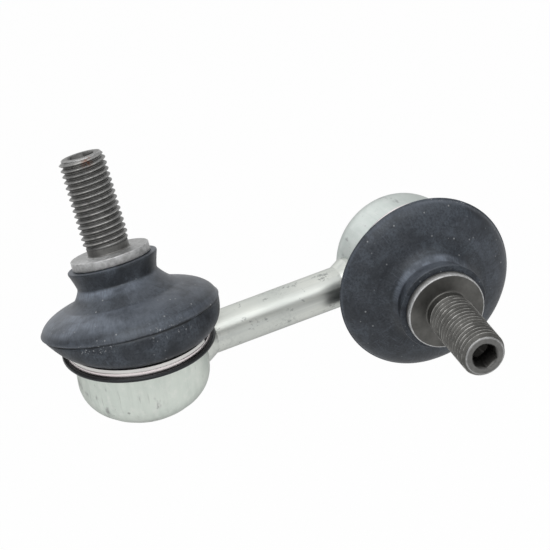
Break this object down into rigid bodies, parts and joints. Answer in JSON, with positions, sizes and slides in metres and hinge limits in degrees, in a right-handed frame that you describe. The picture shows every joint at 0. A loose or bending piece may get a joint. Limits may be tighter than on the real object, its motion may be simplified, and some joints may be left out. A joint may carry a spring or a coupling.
{
  "type": "stabilizer link",
  "caption": "Short stabilizer link: a plated bar with a rubber-booted ball joint at each end, the threaded studs a quarter turn apart, to join an anti-roll bar to a suspension arm.",
  "frame": {"origin": "centre of the left stud's seat face, the flat upper side of its collar that is drawn against the arm it is bolted to", "axes": "+Z out along the left stud to its tip, +X along the bar towards the right joint, +Y completes a right-handed set"},
  "size_m": [0.1007, 0.0618, 0.0668],
  "materials": {
    "zinc": "satin zinc plate on steel",
    "phosphate_steel": "dark phosphate on steel with brighter thread crests",
    "rubber": "moulded matte black rubber",
    "spring_wire": "bright flat spring wire",
    "bare_steel": "plain pressed steel",
    "seat_plastic": "moulded acetal"
  },
  "bodies": {
    "left_stud": {"left_ball_stud": "phosphate_steel"},
    "left_ring": {"left_boot_ring": "bare_steel"},
    "left_cover": {"left_boot": "rubber", "left_boot_clip": "spring_wire"},
    "link": {"link_rod": "zinc", "left_housing": "zinc", "left_ball_seat": "seat_plastic", "left_seat_washer": "bare_steel", "right_housing": "zinc", "right_ball_seat": "seat_plastic", "right_seat_washer": "bare_steel"},
    "right_cover": {"right_boot": "rubber", "right_boot_clip": "spring_wire"},
    "right_ring": {"right_boot_ring": "bare_steel"},
    "right_stud": {"right_ball_stud": "phosphate_steel"}
  },
  "joints": [
    {"name": "left_spin", "type": "hinge", "parent": "left_stud", "child": "left_ring", "pos_m": [0, 0, -0.0241], "axis": [0, 0, 1], "continuous": true},
    {"name": "left_lean", "type": "hinge", "parent": "left_ring", "child": "left_cover", "pos_m": [0, 0, -0.0241], "axis": [1, 0, 0], "range_deg": [-43, 7], "deforming": ["left_boot"]},
    {"name": "left_swivel", "type": "hinge", "parent": "left_cover", "child": "link", "pos_m": [0, 0, -0.0241], "axis": [0, -0.309, 0.9511], "continuous": true},
    {"name": "right_swivel", "type": "hinge", "parent": "link", "child": "right_cover", "pos_m": [0.063, 0, -0.0241], "axis": [0, -0.9511, -0.309], "continuous": true},
    {"name": "right_lean", "type": "hinge", "parent": "right_cover", "child": "right_ring", "pos_m": [0.063, 0, -0.0241], "axis": [0.454, 0.2753, -0.8474], "range_deg": [-32, 18], "deforming": ["right_boot"]},
    {"name": "right_spin", "type": "hinge", "parent": "right_ring", "child": "right_stud", "pos_m": [0.063, 0, -0.0241], "axis": [-0.1086, -0.9269, -0.3593], "continuous": true}
  ]
}
